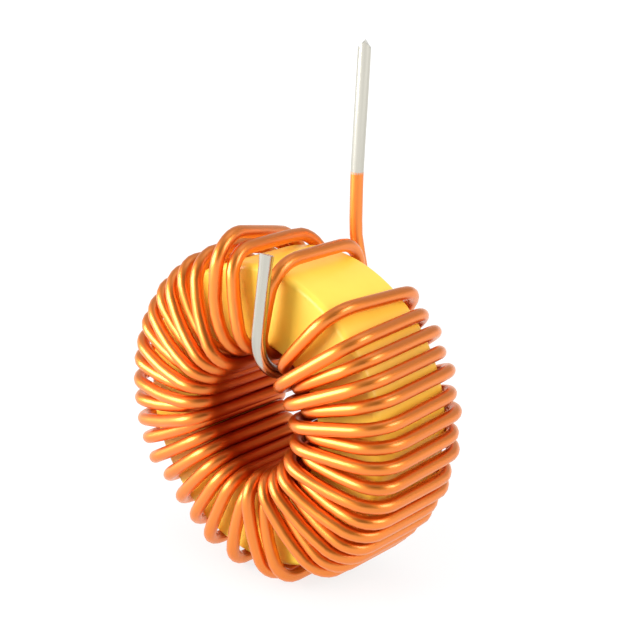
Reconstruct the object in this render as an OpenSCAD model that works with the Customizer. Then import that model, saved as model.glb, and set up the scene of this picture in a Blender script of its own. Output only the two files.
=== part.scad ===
// Toroidal inductor: a yellow coated powder core wound with one thick enamelled wire.
// It stands on its wound rim with both leads up. Front is -Y, and the ring's axis is along Y.

/* [Core] */
// Outer diameter of the coated core
core_od = 33; // [32.8:0.1:33.2]
// Diameter of the core's hole
core_id = 16.3; // [16.1:0.1:16.5]
// Thickness of the core along its axis
core_h = 11.1; // [10.9:0.1:11.3]
// Radius of the core's edges, coat included
core_edge = 0.7; // [0.6:0.05:0.8]

/* [Wire] */
// Diameter of the wire over its enamel
wire_d = 1.44; // [1.36:0.02:1.44]
// Diameter of the bare copper under the enamel
copper_d = 1.34; // [1.24:0.02:1.34]
// Diameter of a lead over its coat of solder
tinned_d = 1.46; // [1.42:0.02:1.46]

/* [Winding] */
// Distance of the wire's centre line from the core's rim
rim_gap = 1.35; // [1.3:0.05:1.4]
// Distance of the first layer's centre line from the hole's wall
bore_gap = 0.89; // [0.88:0.01:0.9]
// Distance of the centre line from the core's front face, at the hole
front_gap = 1.7; // [1.7:0.02:1.8]
// Distance of the centre line from the core's back face, at the hole
back_gap = 1.5; // [1.5:0.02:1.6]
// How far the second layer lies inside the first, in the hole
layer_step = 1.22; // [1.22:0.01:1.26]
// How far the second layer stands off the first at the back of the hole
back_lift = 2.05; // [2.05:0.05:2.2]
// Radius of the wire's bends at the rim
rim_bend = 3.5; // [3.3:0.05:3.5]
// Radius of the wire's bends at the front of the hole
front_bore_bend = 3; // [2.8:0.05:3]
// Radius of the wire's bends at the back of the hole
back_bore_bend = 2.8; // [2.6:0.05:2.8]
// Radius of the slow bends halfway along a face
face_bend = 14; // [12:1:16]

/* [Leads] */
// Height of the rear lead's tip over the core's centre
rear_tip = 38.3; // [37.6:0.1:40]
// Height of the rear lead's slow bend over the core's rim
rear_bow_rise = 7.1; // [6.5:0.1:8]
// Height over the core's rim where the rear lead starts to lean towards the hole
rear_knee_rise = 1.1; // [1:0.05:1.3]
// How far above its slow bend the rear lead's enamel ends
rear_enamel = 0.35; // [0.3:0.05:6]
// Height of the front lead's tip over the core's centre
front_tip = 19.3; // [16:0.1:22]
// Distance of the rear lead's centre line from the core's back face
rear_lead_stand = 3.15; // [3.1:0.05:3.4]
// Distance of the front lead's centre line from the core's front face
front_lead_stand = 2.95; // [2.95:0.05:3.2]
// Radius of the front lead's bend out of the hole
front_lead_bend = 5.6; // [5.2:0.1:5.8]
// Thickness of the solder over the end of the copper
solder_cap = 0.2; // [0.1:0.05:0.3]

/* [Hidden] */

$fn = 40;

core_r = core_od / 2;
hole_r = core_id / 2;
wire_r = wire_d / 2;
half_h = core_h / 2;

rim_r = core_r + rim_gap;
layer_r = [hole_r - bore_gap, hole_r - bore_gap - layer_step];
rim_y = half_h + rim_gap;
rear_lead_y = half_h + rear_lead_stand;
front_lead_y = half_h + front_lead_stand;
// How far right of the middle the rear lead is at its tip, its slow bend and its knee, and
// the front lead at its tip
rear_lead_x = [1.15, 0.7, 0.8];
front_lead_x = 3.7;

// Angles are in degrees around the ring's axis, from +X towards +Z. The turns run clockwise.
// Where the turns cross the rim, in groups: first angle at the front, step, number of turns,
// how proud they stand of the rim, how proud of the face, angle gained on the way to the back
rim_groups = [
    [53.5, 0, 1, 0, 0, -2.2],
    [41.5, 7, 4, 0, 0, 1.7],
    [12.7, 7, 4, 0, 0, 2],
    [-15.8, 6.6, 7, 0, 0, 1],
    [-74.5, 0, 1, 0, 0, 1],
    [-81.5, 17, 2, 0, 0, 0],
    [-111.5, 9.8, 4, 0, 0, 1],
    [-149.3, 7.85, 12, 0.3, 0.3, 1],
    [-245, 0, 1, 0.3, 0.3, 1],
    [-260.3, 0, 1, 2.4, 1.25, 11.3],
    [-262, 0, 1, 0.2, 0.2, 2.5],
    [-280.5, 0, 1, 0.1, 0.1, 0.8]
];
// Where the turns pass through the hole, in groups: first angle, step, number of turns,
// 1 if every second turn lies in the second layer, how far that stands off the first in front
bore_groups = [
    [59, 8.9, 10, 1, 1.3],
    [-28, 7.15, 8, 1, 1.5],
    [-88.3, 0, 1, 0, 0],
    [-105, 11.5, 5, 0, 0],
    [-162.9, 7.15, 12, 1, 1.5],
    [-250, 14.5, 2, 0, 0],
    [-280.5, 0, 1, 0, 0]
];
// How the run over the front face bows, in groups: number of turns, bow towards the higher
// angles, step of that, where along the run from hole to rim
bow_groups = [
    [8, 0, 0, 0.5],
    [3, -0.2, -0.2, 0.5],
    [6, -0.6, 0, 0.5],
    [3, -0.5, 0.2, 0.5],
    [3, 0, 0, 0.5],
    [13, 0.1, 0.1, 0.5],
    [1, 1.7, 0, 0.35],
    [1, 0.4, 0, 0.5],
    [1, 0, 0, 0.5]
];

// One entry for each turn, from the groups
rim = [for (g = rim_groups) for (i = [0 : g[2] - 1]) [g[0] - g[1] * i, g[3], g[4], g[5]]];
bore = [
    for (g = bore_groups) for (i = [0 : g[2] - 1])
        let (layer = g[3] * (i % 2)) [g[0] - g[1] * i, layer, g[4] * layer]
];
bow = [for (g = bow_groups) for (i = [0 : g[0] - 1]) [g[1] + g[2] * i, g[3]]];
turns = len(rim);
last = turns - 1;

// The front lead leaves the hole under the first layer
lead_bore_r = 5.5;
lead_bore_angle = 67.6;
// Slow bend halfway up the rear lead
lead_bow = 20;
// Bend at the rear lead's knee
lead_knee = 6;
// How far the last run stands off the back face, at the hole, over the turns beside it
last_lift = 0.35;
// Share of a straight run that the bend at one end may take
run_share = 0.49;
// How far a straight run reaches into the bends at its ends, and how much thinner it is
joint = 0.1;
run_slack = 0.02;
// Gap between the end of the enamel and the coat of solder
strip_gap = 0.05;

function polar(r, angle, y) = [r * cos(angle), y, r * sin(angle)];
function unit(v) = v / norm(v);
// The point a distance from p towards q
function step_along(p, q, distance) = p + unit(q - p) * distance;

// The corners of one turn: into the hole at the back, out of it at the front, over the face,
// over the rim at the front, over the rim at the back. Each is [point, bend radius].
function bore_back(k) =
    polar(layer_r[bore[k][1]], bore[k][0], k == 0 ? rear_lead_y : half_h + back_gap + back_lift * bore[k][1]);
function bore_front(k) =
    polar(layer_r[bore[k][1]], bore[k][0], -(half_h + front_gap + bore[k][2]));
function rim_front(k) = polar(rim_r + rim[k][1], rim[k][0], -(rim_y + rim[k][2]));
function rim_back(k) = polar(rim_r, rim[k][0] + rim[k][3], rim_y);
function face_middle(k) =
    let (p = bore_front(k) * (1 - bow[k][1]) + rim_front(k) * bow[k][1])
    let (angle = atan2(p.z, p.x))
    p + bow[k][0] * [-sin(angle), 0, cos(angle)];
function turn(k) = [
    [bore_back(k), back_bore_bend],
    [bore_front(k), front_bore_bend],
    if (bow[k][0] != 0) [face_middle(k), face_bend],
    [rim_front(k), rim_bend],
    [rim_back(k), rim_bend]
];

// The whole wire as corners, from the tip of the rear lead to the tip of the front lead
rear_lead = [
    [[rear_lead_x[0], rear_lead_y, rear_tip], 0],
    [[rear_lead_x[1], rear_lead_y, core_r + rear_bow_rise], lead_bow],
    [[rear_lead_x[2], rear_lead_y, core_r + rear_knee_rise], lead_knee]
];
front_lead = [
    [polar(lead_bore_r, lead_bore_angle, half_h + back_gap + last_lift), back_bore_bend],
    [polar(lead_bore_r, lead_bore_angle, -front_lead_y), front_lead_bend],
    [[front_lead_x, -front_lead_y, front_tip], 0]
];
corners = concat(rear_lead, [for (k = [0 : last]) each turn(k)], front_lead);
ends = len(corners) - 1;

// One bend: [start, end, centre, radius, angle swept]
function bend(i) =
    let (p = corners[i][0])
    let (back = corners[i - 1][0] - p)
    let (ahead = corners[i + 1][0] - p)
    let (half = acos(unit(back) * unit(ahead)) / 2)
    let (length = min(corners[i][1] / tan(half), run_share * min(norm(back), norm(ahead))))
    let (radius = length * tan(half))
    let (centre = p + unit(unit(back) + unit(ahead)) * radius / sin(half))
    [p + unit(back) * length, p + unit(ahead) * length, centre, radius, 180 - 2 * half];
bends = [for (i = [1 : ends - 1]) bend(i)];
front_bend = bends[len(bends) - 1];
tip_rear = corners[0][0];
tip_front = corners[ends][0];

// Where the enamel ends on the rear lead
strip_point = step_along(bends[0][0], tip_rear, rear_enamel);
// Length of each lead's snipped end, which is solder throughout, with a little below it
snip = 0.9;
solid_tip = snip + solder_cap;
// Angle of the rear lead's snipped faces, and of the front lead's, to the lead
rear_snip_angle = 40;
front_snip_angle = 68;

// The two lowest runs over the rim rest on the ground
lowest = min([for (k = [0 : last]) rim_front(k).z]) - wire_r;

// Lifts children from around the core's centre to stand on the ground
module stand() {
    translate([0, 0, -lowest]) children();
}

// Places children with their Z axis along a direction and X as near as it can be to a given one
module place(origin, z_axis, x_near) {
    z = unit(z_axis);
    y = unit(cross(z, x_near));
    x = cross(y, z);
    multmatrix([
        [x.x, y.x, z.x, origin.x],
        [x.y, y.y, z.y, origin.y],
        [x.z, y.z, z.z, origin.z],
        [0, 0, 0, 1]
    ]) children();
}

// A straight length of round rod from p to q
module rod(p, q, d) {
    near = abs(unit(q - p).y) < 0.9 ? [0, 1, 0] : [1, 0, 0];
    place(p, q - p, near) cylinder(d = d, h = norm(q - p));
}

// A straight run of the wire. It is a hair thinner than the bends, and ends a little inside them.
module run(p, q, before = joint, after = joint) {
    along = unit(q - p);
    rod(p - along * before, q + along * after, wire_d - run_slack);
}

// A bend of the wire, or with a hole diameter a bent sleeve
module bent_rod(b, d, hole = 0) {
    outward = b[0] - b[2];
    place(b[2], cross(outward, b[1] - b[2]), outward)
        rotate_extrude(angle = b[4])
            translate([b[3], 0])
                difference() {
                    circle(d = d);
                    if (hole > 0) circle(d = hole);
                }
}

module core() {
    color("gold")
        rotate([90, 0, 0])
            rotate_extrude($fn = 180)
                translate([hole_r, -half_h])
                    rounded_rectangle(core_r - hole_r, core_h, core_edge);
}

// A rectangle with one corner at the origin and round corners
module rounded_rectangle(w, h, r) {
    translate([r, 0]) square([w - 2 * r, h]);
    translate([0, r]) square([w, h - 2 * r]);
    for (x = [r, w - r]) for (y = [r, h - r]) translate([x, y]) circle(r = r);
}

module winding() {
    color("chocolate") {
        run(strip_point, bends[0][0], 0);
        for (i = [1 : len(bends) - 2]) run(bends[i - 1][1], bends[i][0]);
        for (i = [0 : len(bends) - 2]) bent_rod(bends[i], wire_d);
        run(bends[len(bends) - 2][1], front_bend[0], joint, -strip_gap);
        // Bare copper inside the solder
        rod(step_along(strip_point, tip_rear, -joint), step_along(tip_rear, strip_point, solid_tip), copper_d);
        bent_rod(front_bend, copper_d);
        front_start = bends[len(bends) - 2][1];
        rod(step_along(front_bend[0], front_start, joint + strip_gap),
            step_along(front_bend[0], front_start, -joint), copper_d - run_slack);
        rod(step_along(front_bend[1], tip_front, -joint),
            step_along(tip_front, front_bend[1], solid_tip), copper_d - run_slack);
    }
}

// The coat of solder on a straight stripped end, from a start to the tip
module straight_tinning(start, tip) {
    difference() {
        rod(start, tip, tinned_d - run_slack);
        rod(step_along(start, tip, -1), step_along(tip, start, solid_tip), copper_d + run_slack);
    }
}

module tinning_rear() {
    color("silver") difference() {
        straight_tinning(step_along(strip_point, tip_rear, strip_gap), tip_rear);
        for (side = [-1, 1])
            place(tip_rear, tip_rear - strip_point, [side, 0.4, 0]) snip_tool(rear_snip_angle);
    }
}

module tinning_front() {
    color("silver") {
        bent_rod(front_bend, tinned_d, copper_d);
        difference() {
            straight_tinning(step_along(front_bend[1], tip_front, -joint), tip_front);
            place(tip_front, tip_front - front_bend[1], [0.5, 1, 0]) translate([-tinned_d / 2, 0])
                snip_tool(front_snip_angle);
        }
    }
}

// Block that cuts a tip: one face starts on the lead's axis at its end and slopes back to +X
module snip_tool(angle) {
    side = 4 * tinned_d;
    rotate([0, angle, 0]) translate([0, -side, 0]) rotate([0, -90, 0]) cube([2 * side, 2 * side, side]);
}

stand() core();
stand() winding();
stand() tinning_rear();
stand() tinning_front();
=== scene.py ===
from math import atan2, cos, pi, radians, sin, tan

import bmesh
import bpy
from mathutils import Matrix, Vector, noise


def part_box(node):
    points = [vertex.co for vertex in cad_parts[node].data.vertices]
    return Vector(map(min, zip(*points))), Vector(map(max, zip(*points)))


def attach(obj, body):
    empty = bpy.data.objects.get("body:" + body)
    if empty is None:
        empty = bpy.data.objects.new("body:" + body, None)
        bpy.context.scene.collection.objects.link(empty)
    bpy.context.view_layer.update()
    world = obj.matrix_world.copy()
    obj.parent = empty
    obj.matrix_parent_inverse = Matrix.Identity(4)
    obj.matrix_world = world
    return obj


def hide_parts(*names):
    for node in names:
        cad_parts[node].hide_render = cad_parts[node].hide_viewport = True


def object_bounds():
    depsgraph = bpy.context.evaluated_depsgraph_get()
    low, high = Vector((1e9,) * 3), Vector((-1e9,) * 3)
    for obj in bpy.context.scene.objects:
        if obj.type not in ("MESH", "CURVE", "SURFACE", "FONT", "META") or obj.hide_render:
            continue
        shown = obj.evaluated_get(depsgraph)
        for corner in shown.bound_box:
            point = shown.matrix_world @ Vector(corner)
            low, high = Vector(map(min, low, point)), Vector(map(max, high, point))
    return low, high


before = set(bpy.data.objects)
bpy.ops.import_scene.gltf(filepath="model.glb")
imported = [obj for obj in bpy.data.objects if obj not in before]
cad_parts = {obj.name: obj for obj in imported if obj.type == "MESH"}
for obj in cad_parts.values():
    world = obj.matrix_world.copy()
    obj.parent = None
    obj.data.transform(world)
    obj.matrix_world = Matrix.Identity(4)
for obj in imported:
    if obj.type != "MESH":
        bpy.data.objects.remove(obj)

# %% [markdown]
# # A toroidal inductor
# A ring of pressed iron powder with a yellow coat, wound with 39 turns of thick enamelled copper
# wire. Both ends of the wire are stripped and tinned, and stand up as leads. The ring stands on
# its wound rim, as it would be soldered to a board by its leads the other way up.
#
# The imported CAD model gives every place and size. Here each piece gets a finer mesh of the same
# shape, and the finish that the real one has.

MM = 0.001
cad_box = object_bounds()
core_low, core_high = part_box("core")
ring_centre = (core_low + core_high) / 2
core_r = (core_high.x - core_low.x) / 2 / MM
half_h = (core_high.y - core_low.y) / 2 / MM
print("ring centre", [round(v / MM, 2) for v in ring_centre], "core radius", round(core_r, 2))

# %% Sizes that a box can't give, in millimetres
hole_r = 8.15
core_edge = 0.7
wire_r = 0.712
tinned_r = 0.73
box_margin = 0.001

# %% [markdown]
# ## The camera
# It looks from the front right and a little above, far enough away that the ring keeps its
# shape, and is turned slightly about its own axis so that the long lead leans as it should.

# %% Camera
azimuth, elevation, roll = radians(40.438), radians(18.374), radians(1.592)
offset_from_ring = Vector((93.618, -105.739, 56.457))
lens_length, sensor_width = 79.08, 36
backward = Vector((sin(azimuth) * cos(elevation), -cos(azimuth) * cos(elevation), sin(elevation)))
level = Vector((cos(azimuth), sin(azimuth), 0))
upright = backward.cross(level)
camera_right = cos(roll) * level + sin(roll) * upright
camera_up = cos(roll) * upright - sin(roll) * level

camera = bpy.data.objects.new("camera", bpy.data.cameras.new("camera"))
bpy.context.scene.collection.objects.link(camera)
camera.data.lens = lens_length
camera.data.sensor_width = sensor_width
place = Matrix((camera_right, camera_up, backward)).transposed().to_4x4()
place.translation = ring_centre + offset_from_ring * MM
camera.matrix_world = place
bpy.context.scene.camera = camera
print("camera at", [round(v, 4) for v in place.translation])


# %% [markdown]
# ## The core
# A powder core is a plain ring with slightly round edges, dipped or tumbled in epoxy. A cylinder
# with a hole would need its edges bevelled afterwards. Instead, one rectangle is drawn across
# the ring's wall, its four corners are rounded, and it is spun about the ring's axis.

# %% Spin a rounded rectangle about the ring's axis
def recalculate(bm):
    bmesh.ops.recalc_face_normals(bm, faces=bm.faces)


def add_piece(name, bm):
    mesh = bpy.data.meshes.new(name)
    bm.to_mesh(mesh)
    bm.free()
    mesh.shade_smooth()
    piece = bpy.data.objects.new(name, mesh)
    bpy.context.scene.collection.objects.link(piece)
    print(name, len(mesh.polygons), "faces")
    return piece


EDGE_STEPS, RING_STEPS = 6, 240
bm = bmesh.new()
wall = [(hole_r, -half_h), (core_r, -half_h), (core_r, half_h), (hole_r, half_h)]
corners = [bm.verts.new(ring_centre + Vector((x, y, 0)) * MM) for x, y in wall]
bm.faces.new(corners)
bmesh.ops.bevel(
    bm, geom=corners, offset=core_edge * MM, offset_type="OFFSET", affect="VERTICES",
    segments=EDGE_STEPS, profile=0.5, material=-1,
)
outline = list(bm.edges)
bmesh.ops.delete(bm, geom=list(bm.faces), context="FACES_ONLY")
bmesh.ops.spin(
    bm, geom=outline, cent=ring_centre, axis=(0, 1, 0), angle=2 * pi, steps=RING_STEPS,
    use_merge=True,
)
recalculate(bm)
core = add_piece("core_ring", bm)


# %% [markdown]
# ## The wire's route
# The winding is one wire. It comes down the rear lead, and each turn goes through the hole to
# the front, out over the front face, back over the rim and in again behind. So the route is a
# list of corners worked out turn by turn, each with the radius that the wire was bent to.
# Turns that don't fit side by side in the hole lie alternately in two layers.

# %% Where the turns lie, in groups of like turns
# first angle at the front, step, number of turns, proud of the rim, proud of the face, twist
RIM_GROUPS = [
    (53.5, 0, 1, 0, 0, -2.2),
    (41.5, 7, 4, 0, 0, 1.7),
    (12.7, 7, 4, 0, 0, 2),
    (-15.8, 6.6, 7, 0, 0, 1),
    (-74.5, 0, 1, 0, 0, 1),
    (-81.5, 17, 2, 0, 0, 0),
    (-111.5, 9.8, 4, 0, 0, 1),
    (-149.3, 7.85, 12, 0.3, 0.3, 1),
    (-245, 0, 1, 0.3, 0.3, 1),
    (-260.3, 0, 1, 2.4, 1.25, 11.3),
    (-262, 0, 1, 0.2, 0.2, 2.5),
    (-280.5, 0, 1, 0.1, 0.1, 0.8),
]
# first angle in the hole, step, number of turns, 1 if every second turn is in the second layer,
# how far that stands off the first in front
BORE_GROUPS = [
    (59, 8.9, 10, 1, 1.3),
    (-28, 7.15, 8, 1, 1.5),
    (-88.3, 0, 1, 0, 0),
    (-105, 11.5, 5, 0, 0),
    (-162.9, 7.15, 12, 1, 1.5),
    (-250, 14.5, 2, 0, 0),
    (-280.5, 0, 1, 0, 0),
]
# number of turns, bow of the run over the front face, step of that, where along the run
BOW_GROUPS = [
    (8, 0, 0, 0.5),
    (3, -0.2, -0.2, 0.5),
    (6, -0.6, 0, 0.5),
    (3, -0.5, 0.2, 0.5),
    (3, 0, 0, 0.5),
    (13, 0.1, 0.1, 0.5),
    (1, 1.7, 0, 0.35),
    (1, 0.4, 0, 0.5),
    (1, 0, 0, 0.5),
]

rim_turns = [(g[0] - g[1] * i, g[3], g[4], g[5]) for g in RIM_GROUPS for i in range(g[2])]
bore_turns = [
    (g[0] - g[1] * i, g[3] * (i % 2), g[4] * (i % 2)) for g in BORE_GROUPS for i in range(g[2])
]
bow_turns = [(g[1] + g[2] * i, g[3]) for g in BOW_GROUPS for i in range(g[0])]
print(len(rim_turns), "turns at the rim,", len(bore_turns), "in the hole")

# %% Distances of the wire's centre line from the core
rim_gap = 1.35
bore_gap = 0.89
front_gap = 1.7
back_gap = 1.5
layer_step = 1.22
back_lift = 2.05
last_lift = 0.35
rim_bend = 3.5
front_bend = 3
back_bend = 2.8
face_bend = 14
rim_r = core_r + rim_gap
rim_y = half_h + rim_gap
layer_r = (hole_r - bore_gap, hole_r - bore_gap - layer_step)

# %% The leads
rear_lead_y = 8.7
front_lead_y = 8.5
rear_tip = Vector((1.15, rear_lead_y, 38.3))
front_tip = Vector((3.7, -front_lead_y, 19.3))
rear_bow = (Vector((0.7, rear_lead_y, 23.6)), 20)
rear_knee = (Vector((0.8, rear_lead_y, 17.6)), 6)
rear_enamel_top = 24.42
front_lead_bend = 5.6
front_lead_bore_r, front_lead_angle = 5.5, 67.6


# %% The corners of the wire, one turn after another
def polar(r, angle, y):
    return Vector((r * cos(radians(angle)), y, r * sin(radians(angle))))


def turn_corners(k):
    angle, layer, front_lift = bore_turns[k]
    rim_angle, proud_r, proud_y, twist = rim_turns[k]
    back_y = rear_lead_y if k == 0 else half_h + back_gap + back_lift * layer
    front_y = half_h + front_gap + front_lift
    corners = [
        (polar(layer_r[layer], angle, back_y), back_bend),
        (polar(layer_r[layer], angle, -front_y), front_bend),
    ]
    over_rim = polar(rim_r + proud_r, rim_angle, -(rim_y + proud_y))
    bow, share = bow_turns[k]
    if bow:
        middle = corners[-1][0].lerp(over_rim, share)
        around = atan2(middle.z, middle.x)
        corners.append((middle + bow * Vector((-sin(around), 0, cos(around))), face_bend))
    corners.append((over_rim, rim_bend))
    corners.append((polar(rim_r, rim_angle + twist, rim_y), rim_bend))
    return corners


wire_corners = [(rear_tip, 0), rear_bow, rear_knee]
for k in range(len(rim_turns)):
    wire_corners += turn_corners(k)
wire_corners += [
    (polar(front_lead_bore_r, front_lead_angle, half_h + back_gap + last_lift), back_bend),
    (polar(front_lead_bore_r, front_lead_angle, -front_lead_y), front_lead_bend),
    (front_tip, 0),
]
print(len(wire_corners), "corners")


# %% [markdown]
# ## From corners to a centre line
# Each corner is rounded with an arc that touches both straight runs, as a bending tool leaves
# it. Wire wound by hand goes from straight to round without a sudden change, so the points are
# then evened out a little along the wire. Last, only the points that are needed are kept: many
# on a bend, few on a straight run.

# %% Round the corners
SPACING = 0.25
LARGEST_SHARE = 0.49


def bend(corners, i):
    """Start, end, centre and swept angle of the arc at corner i.

    The arc takes less than half of each straight run, so that two arcs never meet.
    """
    point, radius = corners[i]
    back = corners[i - 1][0] - point
    ahead = corners[i + 1][0] - point
    half = back.angle(ahead) / 2
    length = min(radius / tan(half), LARGEST_SHARE * min(back.length, ahead.length))
    radius = length * tan(half)
    centre = point + (back.normalized() + ahead.normalized()).normalized() * (radius / sin(half))
    start = point + back.normalized() * length
    end = point + ahead.normalized() * length
    return start, end, centre, pi - 2 * half


def centre_line(corners, spacing):
    """Evenly spaced points along the rounded corners, and the index of the last bend's start."""
    points = []

    def straight(p, q):
        steps = max(1, round((q - p).length / spacing))
        points.extend(p.lerp(q, j / steps) for j in range(steps))

    here = corners[0][0]
    for i in range(1, len(corners) - 1):
        start, end, centre, sweep = bend(corners, i)
        straight(here, start)
        last_bend = len(points)
        arm = start - centre
        axis = arm.cross(end - centre).normalized()
        steps = max(2, round(arm.length * sweep / spacing))
        for j in range(steps):
            points.append(centre + Matrix.Rotation(sweep * j / steps, 3, axis) @ arm)
        here = end
    straight(here, corners[-1][0])
    points.append(corners[-1][0].copy())
    return points, last_bend


fine_line, front_bend_start = centre_line(wire_corners, SPACING)
wire_length = sum((q - p).length for p, q in zip(fine_line, fine_line[1:]))
print(len(fine_line), "points, wire length", round(wire_length), "mm")


# %% Even the line out, and let it wander a little
EASE_POINTS = 40


def evened(points, passes):
    """Each pass moves every point towards the middle of its neighbours."""
    for _ in range(passes):
        inner = [
            here * 0.5 + (before + after) * 0.25
            for before, here, after in zip(points, points[1:], points[2:])
        ]
        points = [points[0], *inner, points[-1]]
    return points


def wandered(points, reach, wave):
    """Moves each point by smooth noise, at most about reach, over waves of that length.

    The movement fades out towards both ends, so that the leads' tips stay where they are.
    """
    moved = []
    for i, point in enumerate(points):
        ease = min(1, i / EASE_POINTS, (len(points) - 1 - i) / EASE_POINTS)
        place_in_noise = Vector((i * SPACING / wave, 3.7, 1.3))
        moved.append(point + noise.noise_vector(place_in_noise) * reach * ease)
    return moved


# Without a seed of its own the noise follows the clock, and each run bends the wire differently.
noise.seed_set(5)
fine_line = wandered(evened(fine_line, passes=5), reach=0.02, wave=9)

# %% Keep only the points that are needed
def thinned(points, longest, turn):
    """Keeps a point once the line has run or turned this far since the last one kept."""
    kept = [points[0]]
    heading = points[1] - points[0]
    for i in range(1, len(points) - 1):
        step = points[i + 1] - points[i]
        if (points[i] - kept[-1]).length >= longest or step.angle(heading) >= turn:
            kept.append(points[i])
            heading = step
    return [*kept, points[-1]]


rear_strip = next(i for i, p in enumerate(fine_line) if p.z < rear_enamel_top)
enamelled_part = fine_line[rear_strip : front_bend_start + 1]
enamelled_line = thinned(enamelled_part, longest=1.6, turn=radians(11))
rear_tin_line = thinned(fine_line[: rear_strip + 2], longest=0.5, turn=radians(6))
front_tin_line = thinned(fine_line[front_bend_start:], longest=0.4, turn=radians(6))
print(len(enamelled_line), "rings of enamelled wire")
print(len(rear_tin_line), "and", len(front_tin_line), "rings of tinned lead")


# %% [markdown]
# ## The wire as a mesh
# A curve with a round bevel sweeps the wire along its centre line. Made into a mesh, it keeps
# one ring of corners at each point of the line. So each corner can be told how far along the
# wire it lies and on which side, and the streaks that drawing leaves on a wire follow those.

# %% Sweep a line, close its ends and note length and side
SIDES = 24


def sweep(name, points, radii):
    data = bpy.data.curves.new(name, "CURVE")
    data.dimensions = "3D"
    data.bevel_depth = MM
    data.bevel_resolution = (SIDES - 4) // 2
    spline = data.splines.new("POLY")
    spline.points.add(len(points) - 1)
    for curve_point, point, radius in zip(spline.points, points, radii):
        curve_point.co = (*(ring_centre + point * MM), 1)
        curve_point.radius = radius
    holder = bpy.data.objects.new(name, data)
    bpy.context.scene.collection.objects.link(holder)
    graph = bpy.context.evaluated_depsgraph_get()
    swept = bpy.data.meshes.new_from_object(holder.evaluated_get(graph))
    bpy.data.objects.remove(holder)
    bm = bmesh.new()
    bm.from_mesh(swept)
    bm.verts.ensure_lookup_table()
    along = bm.verts.layers.float.new("along")
    round_x = bm.verts.layers.float.new("round_x")
    round_z = bm.verts.layers.float.new("round_z")
    distance = 0
    for ring, point in enumerate(points):
        distance += (point - points[max(ring - 1, 0)]).length
        for side in range(SIDES):
            corner = bm.verts[ring * SIDES + side]
            corner[along] = distance
            corner[round_x] = cos(2 * pi * side / SIDES)
            corner[round_z] = sin(2 * pi * side / SIDES)
    ends = [e for e in bm.edges if e.is_boundary]
    bmesh.ops.holes_fill(bm, edges=ends, sides=0)
    for edge in ends:
        edge.smooth = False
    recalculate(bm)
    return bm


def keep_in_box(bm):
    """Presses whatever would pass the CAD model's box back to just inside it."""
    margin = Vector((box_margin,) * 3) * MM
    low, high = cad_box[0] + margin, cad_box[1] - margin
    for corner in bm.verts:
        corner.co = [min(max(value, a), b) for value, a, b in zip(corner.co, low, high)]


bm = sweep("winding_line", enamelled_line, [wire_r] * len(enamelled_line))
keep_in_box(bm)
winding = add_piece("enamelled_winding", bm)

# %% [markdown]
# ## The tinned leads
# The ends are stripped of enamel and dipped in solder, which leaves a thin uneven coat. The rear
# lead was snipped from both sides, so its tip is a wedge. The front lead was cut nearly square
# and the cutters pressed it a little wider.

# %% Uneven coat of solder
COAT_THINNER = 0.016
COAT_UNEVEN = 0.004
COAT_FINENESS = 0.35
FLARE_REACH = 1.6
TEAR_DEPTH = 0.12
TEAR_FINENESS = 4000


def coat_radii(points, seed, flare):
    """The coat's radius at each point: a little uneven, and wider by the flare at the last."""
    radii = []
    for i, point in enumerate(points):
        near_end = max(0, 1 - (points[-1] - point).length / FLARE_REACH)
        uneven = COAT_UNEVEN * noise.noise(Vector((0, i * COAT_FINENESS, seed)))
        radii.append(tinned_r - COAT_THINNER + uneven + flare * near_end**2)
    return radii


def snip(bm, tip, slope):
    """Cuts off what lies beyond a plane through the tip, and closes the cut with a rough rim."""
    cut = bmesh.ops.bisect_plane(
        bm, geom=[*bm.verts, *bm.edges, *bm.faces], plane_co=ring_centre + tip * MM,
        plane_no=slope, clear_outer=True,
    )
    rim = [e for e in cut["geom_cut"] if isinstance(e, bmesh.types.BMEdge)]
    bmesh.ops.holes_fill(bm, edges=rim, sides=0)
    for edge in rim:
        edge.smooth = False
    for corner in {v for e in rim for v in e.verts}:
        corner.co -= slope * TEAR_DEPTH * MM * abs(noise.noise(corner.co * TEAR_FINENESS))
    recalculate(bm)



def cut_plane(axis, across, slope):
    """The normal of a cut. A slope of a right angle cuts square, and a smaller one faces across."""
    across = (across - axis * across.dot(axis)).normalized()
    return axis * sin(slope) + across * cos(slope)


# %% Rear lead's solder
rear_axis = (rear_tip - rear_bow[0]).normalized()
bm = sweep("rear_line", rear_tin_line, coat_radii(rear_tin_line, seed=1.5, flare=0))
for side in (-1, 1):
    snip(bm, rear_tip, cut_plane(rear_axis, Vector((0.8, 0.6, 0)) * side, radians(40)))
keep_in_box(bm)
rear_tin = add_piece("rear_lead_tin", bm)

# %% Front lead's solder
front_axis = (front_tip - front_tin_line[-4]).normalized()
front_across = Vector((-0.3, 1, 0))
front_across = (front_across - front_axis * front_across.dot(front_axis)).normalized()
bm = sweep("front_line", front_tin_line, coat_radii(front_tin_line, seed=7.5, flare=0.08))
snip(bm, front_tip - front_across * tinned_r, cut_plane(front_axis, front_across, radians(74)))
keep_in_box(bm)
front_tin = add_piece("front_lead_tin", bm)


# %% [markdown]
# ## Materials
# Streaks run along any drawn wire, under the enamel as well as under the solder, so they are one
# node group that both metals use. It reads how far along the wire a point lies and on which
# side, and stretches noise along the wire.

# %% A short way to add nodes
def new_material(name):
    material = bpy.data.materials.new(name)
    material.use_nodes = True
    shader = material.node_tree.nodes["Principled BSDF"]
    return material, material.node_tree, shader


def node(tree, kind, **values):
    made = tree.nodes.new("ShaderNode" + kind)
    for key, value in values.items():
        if hasattr(made, key):
            setattr(made, key, value)
        else:
            made.inputs[key.replace("_", " ")].default_value = value
    return made


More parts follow.
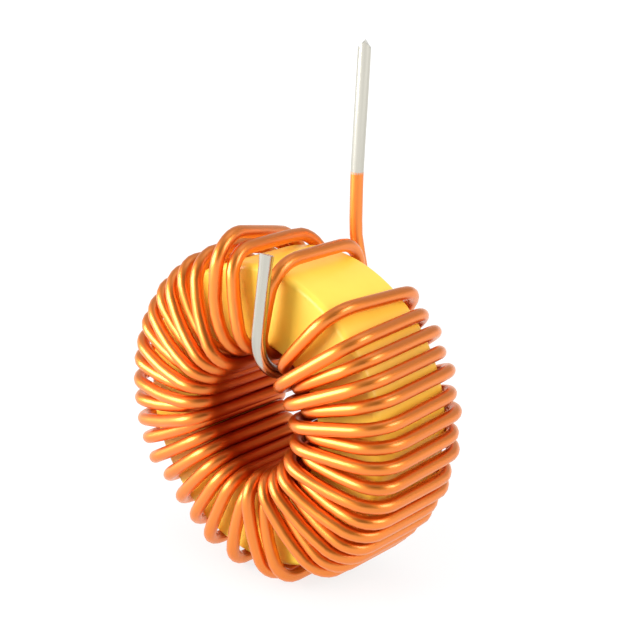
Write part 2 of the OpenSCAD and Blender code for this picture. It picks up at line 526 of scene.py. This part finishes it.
def ramp(tree, value, stops):
    """A colour ramp over a value. Each stop is a place and a colour or a grey."""
    made = tree.nodes.new("ShaderNodeValToRGB")
    elements = made.color_ramp.elements
    while len(elements) < len(stops):
        elements.new(0.5)
    for element, (place, colour) in zip(elements, stops):
        element.position = place
        element.color = (*colour, 1) if isinstance(colour, tuple) else (colour, colour, colour, 1)
    tree.links.new(value, made.inputs["Fac"])
    return made.outputs["Color"]


# %% Node group: streaks of a drawn wire
STRETCH = 0.035
FLOAT = "NodeSocketFloat"
streaks = bpy.data.node_groups.new("drawn_streaks", "ShaderNodeTree")
streaks.interface.new_socket("Fineness", in_out="INPUT", socket_type=FLOAT).default_value = 4
streaks.interface.new_socket("Streaks", in_out="OUTPUT", socket_type=FLOAT)
streaks.interface.new_socket("Blotches", in_out="OUTPUT", socket_type=FLOAT)
group_in = streaks.nodes.new("NodeGroupInput")
group_out = streaks.nodes.new("NodeGroupOutput")
side_x = node(streaks, "Attribute", attribute_name="round_x")
side_z = node(streaks, "Attribute", attribute_name="round_z")
length = node(streaks, "Attribute", attribute_name="along")
slow = node(streaks, "Math", operation="MULTIPLY")
slow.inputs[1].default_value = STRETCH
streaks.links.new(length.outputs["Fac"], slow.inputs[0])
place = node(streaks, "CombineXYZ")
streaks.links.new(side_x.outputs["Fac"], place.inputs["X"])
streaks.links.new(side_z.outputs["Fac"], place.inputs["Y"])
streaks.links.new(slow.outputs[0], place.inputs["Z"])
grain = node(streaks, "TexNoise", Detail=4, Roughness=0.62)
streaks.links.new(place.outputs[0], grain.inputs["Vector"])
streaks.links.new(group_in.outputs["Fineness"], grain.inputs["Scale"])
streaks.links.new(grain.outputs["Fac"], group_out.inputs["Streaks"])
blotch = node(streaks, "TexNoise", Scale=0.9, Detail=2)
streaks.links.new(place.outputs[0], blotch.inputs["Vector"])
streaks.links.new(blotch.outputs["Fac"], group_out.inputs["Blotches"])


def add_streaks(tree, fineness):
    made = tree.nodes.new("ShaderNodeGroup")
    made.node_tree = streaks
    made.inputs["Fineness"].default_value = fineness
    return made


def bump(tree, shader, height, distance, strength):
    made = node(tree, "Bump", Strength=strength, Distance=distance)
    tree.links.new(height, made.inputs["Height"])
    tree.links.new(made.outputs["Normal"], shader.inputs["Normal"])


# %% [markdown]
# ### Enamelled copper
# The enamel is a clear amber varnish over bright copper. A metal with a copper colour carries
# the streaks, and the shader's coat is the varnish: smoother than the metal, so that a broad
# satin shine and a sharper one lie over each other.
#
# Deep in the hole the colour is darkened as painted shade, the shade that falls in the hole, and
# the varnish has no shine there. A mask says how deep: it grows towards the ring's axis and towards
# the middle between the faces.

# %% Painted shade deep in the hole: how deep a point lies, from 0 to 1
def hole_shade_depth(tree):
    where = node(tree, "TexCoord")
    from_centre = node(tree, "VectorMath", operation="SUBTRACT")
    from_centre.inputs[1].default_value = ring_centre
    tree.links.new(where.outputs["Object"], from_centre.inputs[0])
    flat = node(tree, "VectorMath", operation="MULTIPLY")
    flat.inputs[1].default_value = (1, 0, 1)
    tree.links.new(from_centre.outputs["Vector"], flat.inputs[0])
    out_from_axis = node(tree, "VectorMath", operation="LENGTH")
    tree.links.new(flat.outputs["Vector"], out_from_axis.inputs[0])
    inside = node(tree, "MapRange", From_Min=11.5 * MM, From_Max=7.6 * MM)
    tree.links.new(out_from_axis.outputs["Value"], inside.inputs["Value"])
    parts = node(tree, "SeparateXYZ")
    tree.links.new(from_centre.outputs["Vector"], parts.inputs[0])
    off_middle = node(tree, "Math", operation="ABSOLUTE")
    tree.links.new(parts.outputs["Y"], off_middle.inputs[0])
    between_faces = node(tree, "MapRange", From_Min=11 * MM, From_Max=3 * MM)
    tree.links.new(off_middle.outputs[0], between_faces.inputs["Value"])
    hole_shade = node(tree, "Math", operation="MULTIPLY")
    tree.links.new(inside.outputs["Result"], hole_shade.inputs[0])
    tree.links.new(between_faces.outputs["Result"], hole_shade.inputs[1])
    return hole_shade.outputs[0]


# %% Enamelled copper
enamel, tree, shader = new_material("enamelled_copper")
shader.inputs["Metallic"].default_value = 1
shader.inputs["Coat Roughness"].default_value = 0.26
shader.inputs["Coat Tint"].default_value = (1, 0.68, 0.32, 1)
shader.inputs["Coat IOR"].default_value = 1.5
lines = add_streaks(tree, fineness=5)
hole_shade = hole_shade_depth(tree)
copper_tone = ramp(
    tree, lines.outputs["Blotches"], [(0.3, (0.86, 0.34, 0.058)), (0.7, (0.93, 0.385, 0.075))],
)
# Painted shade: deep in the hole the copper colour is multiplied darker and redder.
painted_shade = node(tree, "Mix", data_type="RGBA", blend_type="MULTIPLY")
tree.links.new(hole_shade, painted_shade.inputs["Factor"])
tree.links.new(copper_tone, painted_shade.inputs["A"])
painted_shade.inputs["B"].default_value = (0.72, 0.3, 0.2, 1)
tree.links.new(painted_shade.outputs["Result"], shader.inputs["Base Color"])
shine = node(tree, "MapRange", To_Min=0.95, To_Max=0)
tree.links.new(hole_shade, shine.inputs["Value"])
tree.links.new(shine.outputs["Result"], shader.inputs["Coat Weight"])
rough = ramp(tree, lines.outputs["Streaks"], [(0.3, 0.37), (0.7, 0.47)])
tree.links.new(rough, shader.inputs["Roughness"])
bump(tree, shader, lines.outputs["Streaks"], distance=0.02 * MM, strength=0.45)
winding.data.materials.append(enamel)

# %% [markdown]
# ### Solder
# Solder is a warm grey metal, a little rougher along some of its drawn lines than along others.
# Its light and dark parts are reflections of the lamps and of the room, and move with the view.

# %% Solder
solder, tree, shader = new_material("solder")
shader.inputs["Metallic"].default_value = 1
lines = add_streaks(tree, fineness=2.5)
tin_tone = ramp(
    tree, lines.outputs["Blotches"], [(0.3, (0.5, 0.48, 0.42)), (0.7, (0.62, 0.6, 0.53))],
)
tree.links.new(tin_tone, shader.inputs["Base Color"])
rough = ramp(tree, lines.outputs["Streaks"], [(0.3, 0.15), (0.7, 0.26)])
tree.links.new(rough, shader.inputs["Roughness"])
bump(tree, shader, lines.outputs["Streaks"], distance=0.04 * MM, strength=0.6)
for piece in (rear_tin, front_tin):
    piece.data.materials.append(solder)

# %% [markdown]
# ### Yellow epoxy
# The core's coat is a thick, glossy paint with slightly cloudy colour and a faint orange peel.

# %% Epoxy coat of the core
coat, tree, shader = new_material("yellow_epoxy")
shader.inputs["Roughness"].default_value = 0.38
where = node(tree, "TexCoord")
cloud = node(tree, "TexNoise", Scale=160, Detail=3)
tree.links.new(where.outputs["Object"], cloud.inputs["Vector"])
yellow = ramp(tree, cloud.outputs["Fac"], [(0.3, (0.98, 0.61, 0.055)), (0.7, (1, 0.67, 0.075))])
tree.links.new(yellow, shader.inputs["Base Color"])
peel = node(tree, "TexNoise", Scale=900, Detail=2)
tree.links.new(where.outputs["Object"], peel.inputs["Vector"])
bump(tree, shader, peel.outputs["Fac"], distance=0.03 * MM, strength=0.4)
core.data.materials.append(coat)

# %% [markdown]
# ## Stage and light
# The floor glows to the camera and in reflections, so it looks white there, and it keeps the
# part's shadow. Dull surfaces get no more light from it than from any grey floor.

# %% Floor
FLOOR_HALF_WIDTH = 3
bm = bmesh.new()
bmesh.ops.create_grid(bm, x_segments=1, y_segments=1, size=FLOOR_HALF_WIDTH)
floor = add_piece("floor", bm)
pale, tree, shader = new_material("pale_floor")
shader.inputs["Base Color"].default_value = (0.2, 0.2, 0.2, 1)
shader.inputs["Roughness"].default_value = 0.9
shader.inputs["Emission Color"].default_value = (1, 1, 1, 1)
rays = node(tree, "LightPath")
seen = rays.outputs["Is Camera Ray"]
for other_ray in ("Is Glossy Ray", "Is Transmission Ray"):
    either = node(tree, "Math", operation="ADD", use_clamp=True)
    tree.links.new(seen, either.inputs[0])
    tree.links.new(rays.outputs[other_ray], either.inputs[1])
    seen = either.outputs[0]
where = node(tree, "TexCoord")
reach = node(tree, "VectorMath", operation="LENGTH")
tree.links.new(where.outputs["Object"], reach.inputs[0])
fill = node(tree, "MapRange", From_Min=0.1, From_Max=0.5, To_Min=0.77, To_Max=1)
tree.links.new(reach.outputs["Value"], fill.inputs["Value"])
glow = node(tree, "Math", operation="MULTIPLY")
tree.links.new(seen, glow.inputs[0])
tree.links.new(fill.outputs["Result"], glow.inputs[1])
tree.links.new(glow.outputs[0], shader.inputs["Emission Strength"])
floor.data.materials.append(pale)

# %% [markdown]
# The room has a white backdrop all round, up to a little over the horizon. Above it the walls
# are grey, and darker at the front right, so that metal has something dark to reflect. Dull
# surfaces see an even room of strength 1 instead, and the lamps add to that.

# %% World
world = bpy.data.worlds.new("studio")
bpy.context.scene.world = world
world.use_nodes = True
tree = world.node_tree
sky = tree.nodes["Background"]
toward_dark_wall = Vector((0.85, -0.45, 0.15))
heading = node(tree, "TexCoord")
facing = node(tree, "VectorMath", operation="DOT_PRODUCT")
facing.inputs[1].default_value = toward_dark_wall.normalized()
tree.links.new(heading.outputs["Generated"], facing.inputs[0])
turned = node(tree, "MapRange", From_Min=-1, From_Max=1)
tree.links.new(facing.outputs["Value"], turned.inputs["Value"])
wall = ramp(
    tree, turned.outputs["Result"], [(0, 0.6), (0.5, 0.55), (0.7, 0.38), (0.86, 0.2), (0.96, 0.05)],
)
heights = node(tree, "SeparateXYZ")
tree.links.new(heading.outputs["Generated"], heights.inputs[0])
near_horizon = node(tree, "MapRange", From_Min=0.14, From_Max=0.24, To_Min=1, To_Max=0)
tree.links.new(heights.outputs["Z"], near_horizon.inputs["Value"])
room = node(tree, "Mix", data_type="RGBA")
tree.links.new(near_horizon.outputs["Result"], room.inputs["Factor"])
tree.links.new(wall, room.inputs["A"])
room.inputs["B"].default_value = (1, 1, 1, 1)
rays = node(tree, "LightPath")
soft = node(tree, "Mix", data_type="RGBA")
tree.links.new(rays.outputs["Is Diffuse Ray"], soft.inputs["Factor"])
tree.links.new(room.outputs["Result"], soft.inputs["A"])
soft.inputs["B"].default_value = (1, 1, 1, 1)
tree.links.new(soft.outputs["Result"], sky.inputs["Color"])

# %% [markdown]
# Three soft boxes make the broad highlights: a long one at the front left, a weak one overhead
# and a small one at the right.

# %% Soft boxes
LAMP_DISTANCE = 0.45


def soft_box(name, direction, width, height, radiance):
    lamp = bpy.data.lights.new(name, "AREA")
    lamp.shape = "RECTANGLE"
    lamp.size = width
    lamp.size_y = height
    lamp.energy = radiance * pi * width * height
    holder = bpy.data.objects.new(name, lamp)
    bpy.context.scene.collection.objects.link(holder)
    direction = Vector(direction).normalized()
    holder.location = ring_centre + direction * LAMP_DISTANCE
    holder.rotation_euler = direction.to_track_quat("Z", "Y").to_euler()
    print(name, "power", round(lamp.energy, 2), "W")


soft_box("left_box", (-0.57, -0.8, 0.26), width=0.36, height=0.22, radiance=10.5)
soft_box("top_box", (0.1, 0.1, 1), width=0.3, height=0.3, radiance=0.7)
soft_box("right_box", (0.85, 0.15, 0.5), width=0.2, height=0.2, radiance=6)

# %% [markdown]
# ## Finish
# The Standard view shows colours as they are written. Each piece then rides on the part's one
# body and stands in for its CAD node.

# %% Colour management
bpy.context.scene.view_settings.view_transform = "Standard"

# %% Finish
for piece, cad_node, slot in (
    (core, "core", "core_coat"),
    (winding, "winding", "enamelled_wire"),
    (rear_tin, "tinning_rear", "solder"),
    (front_tin, "tinning_front", "solder"),
):
    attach(piece, "root")
    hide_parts(cad_node)
